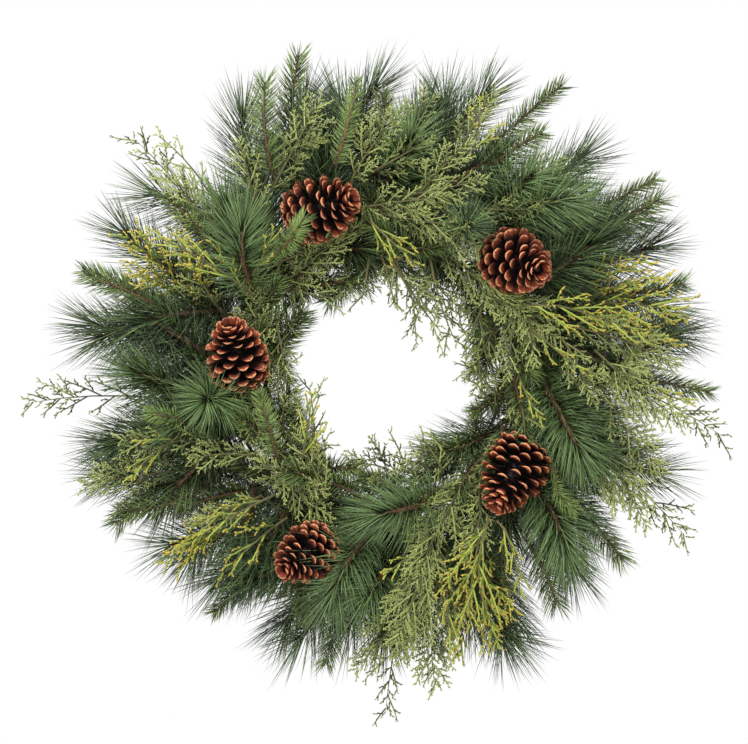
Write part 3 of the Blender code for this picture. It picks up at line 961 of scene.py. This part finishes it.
@dataclass
class WreathFrame:
    """The wire frame: four rings in a shallow trough, welded to bent braces."""

    wire: float = 0.0016
    braces: int = 8
    brace_clock: float = 7.5
    brace_ends: tuple[float, float] = (0.1515, 0.1025)
    inset: float = 0.0018
    bead: float = 0.0034

    def grow(self, bundle: Bundle) -> None:
        """Adds the rings, the braces and a bead of weld at each crossing."""
        for radius, forward in RINGS:
            clocks = np.linspace(0, 360, 180, endpoint=False)
            Wire(on_ring(clocks, radius, forward), self.wire, 12, True).grow(bundle)
        for index in range(self.braces):
            clock = self.brace_clock + 360 / self.braces * index
            places = [on_ring(clock, radius, forward + (self.inset if forward else 0.0))
                      for radius, forward in RINGS]
            outer, inner = (on_ring(clock, radius, 0.0012) for radius in self.brace_ends)
            Wire.smooth(np.array([outer, *places, inner]), self.wire * 0.96).grow(bundle)
            for radius, forward in RINGS:
                weld = on_ring(clock, radius, forward + 0.0008)
                run = self.bead * (on_ring(clock + 90, 1.0) - CENTRE)
                bead = Shoots.between(weld - run, weld + run, np.zeros(3))
                bundle.shoots(bead, self.wire * 1.35, (0.3, 0.9, 1.0, 1.05, 0.9, 0.3), sides=10,
                              bold=True)


@dataclass
class Binding:
    """The green wire that is wound round the frame and over the sprigs' heels."""

    turns: int = 24
    radius: float = 0.0006
    reach: float = 0.0265
    first: float = 2.0
    front: float = 0.0075
    back: float = 0.0152

    def grow(self, bundle: Bundle) -> None:
        """Adds the wire."""
        clocks = np.linspace(self.first, 360 - self.first, self.turns * 40)
        turn = np.radians(clocks - self.first) * self.turns
        lean = np.cos(turn)
        radius = TROUGH + self.reach * np.sign(lean) * np.abs(lean) ** 0.8
        rise = np.sin(turn)
        forward = np.where(rise > 0, self.front * rise, self.back * rise)
        Wire(on_ring(clocks, radius, forward), self.radius, 8).grow(bundle)


@dataclass
class Hanger:
    """A steel wire bent to an eye, with both ends coiled round the frame's outer ring."""

    eye: float = 0.009
    wire: float = 0.0012
    half_width: float = 0.004
    pitch: float = 0.0032
    turns: float = 2.5

    def coil(self, side: int) -> Array:
        """Points of one coiled end, from the eye outwards."""
        turns = np.linspace(0, self.turns, 61)
        along = side * (self.half_width + self.pitch * turns)
        lift = np.sqrt(RINGS[0][0] ** 2 - along ** 2)
        off = 0.0016 + self.wire + 0.0003
        turn = 2 * math.pi * turns
        return np.stack([along, CENTRE[1] + off * np.cos(turn),
                         CENTRE[2] + lift - off * np.sin(turn)], axis=-1)

    def grow(self, bundle: Bundle) -> None:
        """Adds the wire."""
        circle = self.eye + self.wire
        opening = math.asin(self.half_width / circle)
        angle = -math.pi / 2 - opening - np.linspace(0, 2 * math.pi - 2 * opening, 49)
        eye = np.stack([circle * np.cos(angle), 0 * angle, circle * np.sin(angle) - self.eye],
                       axis=-1)
        points = np.concatenate([self.coil(-1)[::-1][:-1], eye[1:-1], self.coil(1)[1:]])
        for _ in range(3):
            points[1:-1] = 0.25 * points[:-2] + 0.5 * points[1:-1] + 0.25 * points[2:]
        Wire(points, self.wire, 12).grow(bundle)


@dataclass
class ConeWire:
    """The wire that holds a cone: up from the frame, then round among the cone's lowest scales."""

    cone: PineCone
    pick_clock: float
    radius: float = 0.0009

    def grow(self, bundle: Bundle) -> None:
        """Adds the wire."""
        cone = self.cone
        foot = on_ring(self.pick_clock, CONE_WIRE_RADIUS, -0.006)
        shoulder = on_ring(self.pick_clock, CONE_WIRE_RADIUS, 0.010)
        toward = shoulder - cone.middle
        first = math.atan2(toward @ cone.ahead, toward @ cone.right)
        turn = first + np.radians(np.linspace(0, 300, 14))
        neck = cone.middle - 0.026 * cone.size * cone.axis
        wrap = neck + 0.0135 * cone.size * (np.cos(turn)[:, None] * cone.right
                                            + np.sin(turn)[:, None] * cone.ahead)
        clear = neck + 0.021 * cone.size * (math.cos(first) * cone.right
                                            + math.sin(first) * cone.ahead) - 0.008 * cone.axis
        Wire.smooth(np.array([foot, shoulder, clear, *wrap]), self.radius).grow(bundle)


# First seeds of the sprigs and cones, one range for each group of pieces, and the seeds that place
# the sprigs of the bed and of the fringe.
NODE_SEED, LAID_SEED, BED_SEED, FRINGE_SEED, CONE_SEED = 100, 300, 600, 800, 900
BED_SHUFFLE, FRINGE_SHUFFLE = 7, 11

# Sprigs laid between the CAD ones. Each row is the clock, radius and forward of the heel, then of
# the tip, then painted light, lower for more painted shade: degrees, millimetres and hundredths.
LAID_BETWEEN = {
    Kind.PINE: [
        (3, 170, 30, 11, 250, 36, 15), (262, 140, 26, 261, 158, 112, 95),
        (93, 136, 40, 116, 192, 104, 90), (28, 134, 50, 30, 146, 108, 40),
        (301, 133, 54, 319, 188, 110, 80), (97, 140, 50, 104, 205, 66, 25),
        (127, 160, 40, 136, 232, 92, 85), (156, 120, 44, 190, 126, 104, 85),
        (184, 136, 48, 195, 216, 96, 80), (40, 166, 46, 49, 232, 96, 90),
        (176, 160, 30, 181, 246, 40, 30), (252, 160, 30, 256, 268, 40, 25),
        (340, 150, 34, 346, 240, 46, 20), (60, 150, 40, 58, 248, 58, 35),
        (216, 150, 40, 214, 232, 50, 25), (338, 122, 26, 6, 100, 40, 20),
        (8, 122, 26, 34, 102, 40, 25),
    ],
    Kind.FIR: [
        (330, 190, 70, 338, 277, 72, 55), (346, 180, 78, 355, 258, 86, 90),
        (357, 190, 52, 0, 248, 62, 40), (313, 140, 62, 336, 149, 118, 90),
        (26, 190, 50, 34, 254, 60, 45), (54, 190, 40, 58, 288, 46, 40),
        (285, 190, 46, 288, 276, 56, 45), (238, 190, 40, 243, 268, 50, 35),
        (140, 190, 40, 144, 258, 50, 35), (119, 150, 74, 127, 206, 92, 85),
        (231, 118, 70, 264, 110, 96, 85), (256, 176, 74, 261, 212, 88, 90),
        (304, 170, 54, 309, 246, 64, 30),
    ],
    Kind.CEDAR: [
        (313, 190, 46, 316, 288, 46, 100), (308, 180, 60, 312, 262, 64, 95),
        (326, 180, 64, 347, 240, 78, 60), (348, 160, 66, 5, 228, 80, 65),
        (358, 136, 70, 35, 150, 88, 60), (10, 150, 70, 21, 212, 88, 60),
        (350, 142, 70, 20, 158, 94, 55), (4, 150, 64, 28, 186, 88, 60),
        (355, 170, 62, 12, 204, 84, 55), (12, 130, 72, 42, 132, 94, 60),
        (28, 160, 60, 44, 196, 80, 50), (2, 190, 60, 8, 248, 72, 50),
        (320, 170, 64, 328, 236, 82, 60), (66, 134, 64, 88, 128, 90, 75),
        (76, 150, 66, 98, 176, 86, 65),
        (246, 150, 60, 256, 236, 74, 50), (236, 130, 62, 246, 184, 82, 50),
        (18, 190, 56, 22, 262, 64, 60), (34, 170, 62, 40, 240, 70, 55),
        (74, 150, 56, 89, 250, 66, 75),
        (90, 150, 60, 99, 236, 80, 70), (60, 130, 60, 95, 104, 78, 60),
        (104, 150, 56, 119, 244, 60, 75), (148, 120, 60, 172, 182, 88, 70),
        (140, 130, 64, 158, 170, 92, 70), (160, 160, 60, 176, 236, 80, 75),
        (158, 126, 64, 178, 232, 98, 70), (166, 170, 50, 186, 258, 66, 65),
        (160, 170, 46, 171, 276, 58, 60), (84, 180, 70, 100, 262, 80, 75),
        (96, 190, 66, 110, 256, 76, 70), (106, 190, 60, 121, 262, 70, 70),
        (244, 190, 44, 250, 280, 52, 55), (225, 150, 64, 233, 212, 84, 60),
        (290, 150, 54, 304, 222, 70, 55), (204, 120, 62, 240, 90, 70, 60),
    ],
    Kind.CYPRESS: [
        (352, 136, 84, 17, 94, 108, 85), (22, 196, 70, 19, 250, 88, 95),
        (60, 126, 84, 82, 222, 108, 90), (74, 130, 84, 92, 176, 104, 70),
        (90, 114, 60, 107, 140, 88, 55), (90, 210, 60, 96, 268, 72, 85),
        (171, 156, 78, 181, 174, 98, 75), (164, 190, 76, 166, 254, 84, 90),
        (143, 150, 88, 157, 240, 112, 95), (142, 156, 84, 149, 222, 108, 90),
        (148, 156, 84, 162, 232, 108, 95), (214, 150, 74, 219, 226, 92, 60),
        (222, 140, 88, 229, 226, 106, 90), (253, 180, 70, 247, 238, 80, 85),
        (300, 130, 80, 300, 236, 104, 85), (306, 140, 80, 323, 156, 100, 55),
        (222, 108, 70, 256, 64, 84, 85),
    ],
}

# Thin twigs that hang into the opening, with the same first six columns, and how many more stand
# round it.
HANGING_TWIGS = [
    (4, 100, 56, 62, 60, 66), (2, 98, 60, 34, 54, 70), (358, 100, 54, 8, 56, 60),
    (352, 100, 50, 340, 62, 58), (22, 104, 56, 72, 66, 64), (52, 112, 60, 74, 68, 66),
    (312, 110, 52, 330, 74, 56), (216, 104, 56, 262, 66, 62), (210, 106, 60, 244, 70, 66),
    (150, 100, 60, 152, 60, 64),
]
FRINGE_TWIGS = 22

# The bed of short sprigs, painted dark as in shade, that hides the frame. Each row is a ring of
# sprigs:
# kind, how many, radius of the heels and of the tips, sweep in degrees, forward of the heels and of
# the tips, and painted light in hundredths.
BED = [
    (Kind.FIR, 26, 112, 158, 44, 16, 36, 8),
    (Kind.PINE, 26, 120, 190, 34, 14, 34, 10),
    (Kind.FIR, 24, 150, 222, 20, 20, 44, 12),
    (Kind.FIR, 15, 106, 86, 46, 12, 36, 34),
    (Kind.PINE, 22, 150, 240, 16, 30, 50, 16),
    (Kind.FIR, 19, 112, 128, 34, 34, 60, 34),
    (Kind.CEDAR, 15, 118, 140, 44, 44, 64, 50),
    (Kind.PINE, 15, 172, 268, 14, 20, 30, 20),
    (Kind.PINE, 22, 138, 202, 28, -8, -4, 6),
    (Kind.FIR, 13, 122, 94, 40, -6, 2, 10),
]

# Painted light of a CAD sprig, by how far forward of the rings its tip stands: more painted shade
# further back.
PAINTED_LIGHT_BY_FORWARD = ((0.012, 0.055, 0.10), (0.18, 0.42, 0.82))

# CAD sprigs that others overhang, with their painted light, lowered for the painted shade that they
# lie in.
SHADED = {"pine_spray_16": 0.35, "pine_spray_18": 0.40}

# The finishes, by the names of the record's slots, and the slot of each kind of sprig.
FINISHES = {
    "pine_needles": LeafFinish("pine needles", tint(28, 40, 26), tint(112, 138, 84),
                               tint(42, 34, 24), tint(160, 168, 124), 0.84, 0.4, 0.34, 0.40),
    "fir_needles": LeafFinish("fir needles", tint(36, 46, 30), tint(128, 152, 80),
                              tint(72, 60, 36), tint(178, 186, 126), 0.66, 0.4, 0.20, 0.42),
    "cedar_leaves": LeafFinish("cedar leaves", tint(46, 60, 30), tint(150, 160, 90),
                               tint(56, 58, 34), tint(218, 222, 154), 0.55, 0.65),
    "golden_cypress_leaves": LeafFinish("golden cypress leaves", tint(72, 90, 34),
                                        tint(144, 158, 62), tint(116, 106, 38),
                                        tint(250, 198, 92), 0.40, 0.95),
    # The cone's near-black core colour is painted shade deep among the scales.
    "cone_scale": ConeFinish("cone scales", tint(24, 12, 13), tint(96, 40, 24),
                             tint(148, 68, 40), tint(210, 146, 104)),
    "frame_wire": WireFinish("frame wire", tint(38, 62, 44), tint(120, 112, 100), 0.2, 0.3),
    "binding_wire": WireFinish("binding wire", tint(46, 84, 52), tint(110, 110, 96), 0.3, 0.3),
    "hanger_wire": WireFinish("hanger wire", tint(168, 170, 172), tint(120, 116, 110), 0.9, 0.18),
}
SLOTS = {Kind.PINE: "pine_needles", Kind.FIR: "fir_needles", Kind.CEDAR: "cedar_leaves",
         Kind.CYPRESS: "golden_cypress_leaves"}
BARKS = (BarkFinish("bark", tint(52, 36, 24), tint(118, 88, 58)),
         BarkFinish("green bark", tint(60, 58, 30), tint(104, 98, 52)))
GREEN_BARKED = (SLOTS[Kind.CEDAR], SLOTS[Kind.CYPRESS])


Grower = Sprig | PineCone | Wire | WreathFrame | Binding | Hanger | ConeWire


@dataclass
class Studio:
    """The floor, the lights and the camera."""

    floor_drop: float = 0.83
    floor_radius: float = 1.8
    distance: float = 2.5
    lens: float = 136.8
    aside: float = -0.0097
    sensor: float = 36.0

    def build(self, floor: bpy.types.Material) -> None:
        """Makes the studio round the wreath."""
        bpy.ops.mesh.primitive_circle_add(vertices=96, radius=self.floor_radius, fill_type="NGON",
                                          location=(0, 0, -self.floor_drop))
        ground = bpy.context.object
        ground.name = "floor"
        ground.data.materials.append(floor)
        for name, place, size, power in (("key", (-0.7, -1.7, 1.2), 1.0, 46.0),
                                         ("fill", (1.4, -1.6, 0.2), 1.6, 9.0),
                                         ("top", (0.1, 0.3, 1.5), 1.2, 8.0),
                                         ("back", (0.9, 1.7, 0.6), 1.4, 14.0)):
            self.light(name, place, size, power)
        self.sky()
        self.camera()

    def light(self, name: str, place: Colour, size: float, power: float) -> None:
        """Adds one soft square light that faces the wreath."""
        lamp = bpy.data.lights.new(name, "AREA")
        lamp.size = size
        lamp.energy = power
        holder = bpy.data.objects.new(name, lamp)
        holder.location = place
        way = Vector(CENTRE) - holder.location
        holder.rotation_euler = way.to_track_quat("-Z", "Y").to_euler()
        bpy.context.scene.collection.objects.link(holder)

    def sky(self) -> None:
        """Sets a plain pale surround."""
        world = bpy.data.worlds.new("surround")
        world.use_nodes = True
        backdrop = world.node_tree.nodes["Background"]
        backdrop.inputs["Color"].default_value = (1.0, 1.0, 1.0, 1.0)
        backdrop.inputs["Strength"].default_value = 1.0
        bpy.context.scene.world = world
        bpy.context.scene.view_settings.view_transform = "Standard"

    def camera(self) -> None:
        """Sets a long lens level with the middle of the wreath."""
        data = bpy.data.cameras.new("camera")
        data.lens = self.lens
        data.sensor_width = self.sensor
        holder = bpy.data.objects.new("camera", data)
        holder.location = (self.aside, CENTRE[1] - self.distance, CENTRE[2])
        holder.rotation_euler = (math.pi / 2, 0, 0)
        bpy.context.scene.collection.objects.link(holder)
        bpy.context.scene.camera = holder


@dataclass
class Wreath:
    """The whole wreath, made piece by piece."""

    nodes: dict[str, bpy.types.Object]
    made: int = 0

    def __post_init__(self) -> None:
        """Makes the finishes."""
        self.bark, self.green_bark = (finish.make() for finish in BARKS)
        self.finishes = {slot: finish.make() for slot, finish in FINISHES.items()}

    def place(self, bundle: Bundle, name: str, slot: str, replaced: str = "") -> None:
        """Makes a piece of a bundle and fixes it to the frame's body.

        Args:
            bundle: what it is made of.
            name: the piece's name.
            slot: the record's slot for its finish.
            replaced: the CAD node that it stands for, if any.
        """
        bark = self.green_bark if slot in GREEN_BARKED else self.bark
        piece = bundle.make(name, [self.finishes[slot], bark])
        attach(piece, "root")
        if replaced:
            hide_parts(replaced)
        self.made += 1
        LOG.info("%s: %d faces", name, len(piece.data.polygons))

    def replace(self, thing: Grower, node: str, how: str, slot: str, pressed: bool = False) -> None:
        """Makes one thing in the place of a CAD node.

        Args:
            thing: what is grown or bent.
            node: the CAD node's name.
            how: the word that ends the piece's name.
            slot: the record's slot for its finish.
            pressed: True if it is eased round the cones and to the wreath's outer shape.
        """
        bundle = Bundle(pressed=pressed)
        thing.grow(bundle)
        self.place(bundle, f"{node}_{how}", slot, node)

    def sprig(self, kind: Kind, heel: Array, tip: Array, ripe: float, seed: int,
              count: int = FRONT_NEEDLES) -> Sprig:
        """A sprig of the right class."""
        if kind is Kind.PINE:
            span = float(np.linalg.norm(tip - heel))
            needle = min(0.046, 0.38 * span + 0.012)
            return PineSpray(heel, tip, ripe, seed, needle=needle, count=count)
        if kind is Kind.FIR:
            vigour = 0.70 if ripe > 0.7 else 0.76 + 0.48 * (seed * 0.618 % 1)
            return FirTip(heel, tip, ripe, seed, vigour=vigour)
        if kind is Kind.CEDAR:
            flung = np.linalg.norm(tip - CENTRE) > 0.29
            habit = Habits.THREADY if flung else Habits.LACY
            vigour = 0.5 if flung else 1.0
            return ScaleSpray(heel, tip, ripe, seed, vigour=vigour, habit=habit.value)
        return ScaleSpray(heel, tip, ripe, seed, vigour=0.82, habit=Habits.CORAL.value)

    def grow_frame_sprigs(self) -> None:
        """Replaces each CAD sprig."""
        for kind in Kind:
            names = sorted(name for name in self.nodes if name.startswith(kind.value))
            for number, name in enumerate(names):
                heel, tip = ends_of(self.nodes[name])
                ahead = CENTRE[1] - tip[1]
                ripe = SHADED.get(name, float(np.interp(ahead, *PAINTED_LIGHT_BY_FORWARD)))
                sprig = self.sprig(kind, heel, tip, ripe, NODE_SEED + number)
                self.replace(sprig, name, "grown", SLOTS[kind], pressed=True)

    def grow_between(self) -> None:
        """Lays the sprigs that fill the gaps between the CAD ones, bundled by kind and by side."""
        seed = LAID_SEED
        for kind, rows in LAID_BETWEEN.items():
            for side, first in (("right", 0), ("left", 180)):
                bundle = Bundle(pressed=True)
                for offset, row in enumerate(rows):
                    if first <= row[0] < first + 180:
                        heel, tip, ripe = spot(*row[:3]), spot(*row[3:6]), row[6] / 100
                        self.sprig(kind, heel, tip, ripe, seed + offset).grow(bundle)
                self.place(bundle, f"{kind.value}s_between_{side}", SLOTS[kind])
            seed += len(rows)

    def grow_bed(self) -> None:
        """Lays the short sprigs, painted dark as in shade, that hide the frame, in rings that
        mostly lean clockwise.
        """
        rng = np.random.default_rng(BED_SHUFFLE)
        for number, (kind, count, inner, outer, sweep, low, high, ripe) in enumerate(BED, start=1):
            inner, outer, low, high = (value / 1000 for value in (inner, outer, low, high))
            bundle = Bundle(pressed=True)
            for index in range(count):
                clock = 360 / count * index + rng.uniform(-4, 4)
                swing = sweep * rng.uniform(0.5, 1.1) * (1 if rng.random() < 0.7 else -1)
                heel = on_ring(clock, inner, low + rng.uniform(0, 0.008))
                tip = on_ring(clock + swing, outer + rng.uniform(-0.010, 0.010),
                              high + rng.uniform(-0.006, 0.012))
                shade = ripe / 100 + rng.uniform(0, 0.16)
                seed = BED_SEED + 40 * number + index
                self.sprig(kind, heel, tip, shade, seed, BED_NEEDLES).grow(bundle)
            self.place(bundle, f"bed_{number}", SLOTS[kind])

    def grow_fringe(self) -> None:
        """Lays the thin twigs that reach into the opening."""
        rng = np.random.default_rng(FRINGE_SHUFFLE)
        bundle = Bundle(pressed=True)
        twigs = [(spot(*row[:3]), spot(*row[3:])) for row in HANGING_TWIGS]
        for index in range(FRINGE_TWIGS):
            clock = 360 / FRINGE_TWIGS * index + rng.uniform(-6, 6)
            sweep = rng.choice([-1, 1]) * rng.uniform(16, 40)
            heel = on_ring(clock, 0.106, 0.024 + rng.uniform(0, 0.03))
            tip = on_ring(clock + sweep, rng.uniform(0.068, 0.088), 0.030 + rng.uniform(0, 0.04))
            twigs.append((heel, tip))
        for index, (heel, tip) in enumerate(twigs):
            twig = ScaleSpray(heel, tip, 0.35 + rng.uniform(0, 0.3), FRINGE_SEED + index,
                              habit=Habits.THREADY.value)
            twig.grow(bundle)
        self.place(bundle, "fringe", "cedar_leaves")

    def set_cones(self) -> None:
        """Replaces the cones and the wires that hold them."""
        for number, (clock, radius, forward, points, size, pick) in enumerate(CONES, start=1):
            right, front, up = points
            middle = on_ring(clock, radius, forward)
            cone = PineCone(middle, np.array([right, -front, up]), size, CONE_SEED + number)
            self.replace(cone, f"pine_cone_{number}", "grown", "cone_scale")
            self.replace(ConeWire(cone, pick), f"cone_wire_{number}", "bent", "binding_wire")

    def bend_wires(self) -> None:
        """Replaces the frame, the binding and the hanger."""
        for wire, node, slot in ((WreathFrame(), "wire_frame", "frame_wire"),
                                 (Binding(), "binding_wire", "binding_wire"),
                                 (Hanger(), "hanger_loop", "hanger_wire")):
            self.replace(wire, node, "bent", slot)


def main() -> None:
    """Builds the wreath and the studio."""
    logging.basicConfig(level=logging.INFO, format="%(message)s")
    wreath = Wreath(frame["nodes"])
    wreath.bend_wires()
    wreath.set_cones()
    wreath.grow_frame_sprigs()
    wreath.grow_between()
    wreath.grow_bed()
    wreath.grow_fringe()
    LOG.info("%d pieces", wreath.made)
    Studio().build(FloorFinish("floor", tint(208, 208, 206), tint(216, 216, 214)).make())


if __name__ == "__main__":
    main()
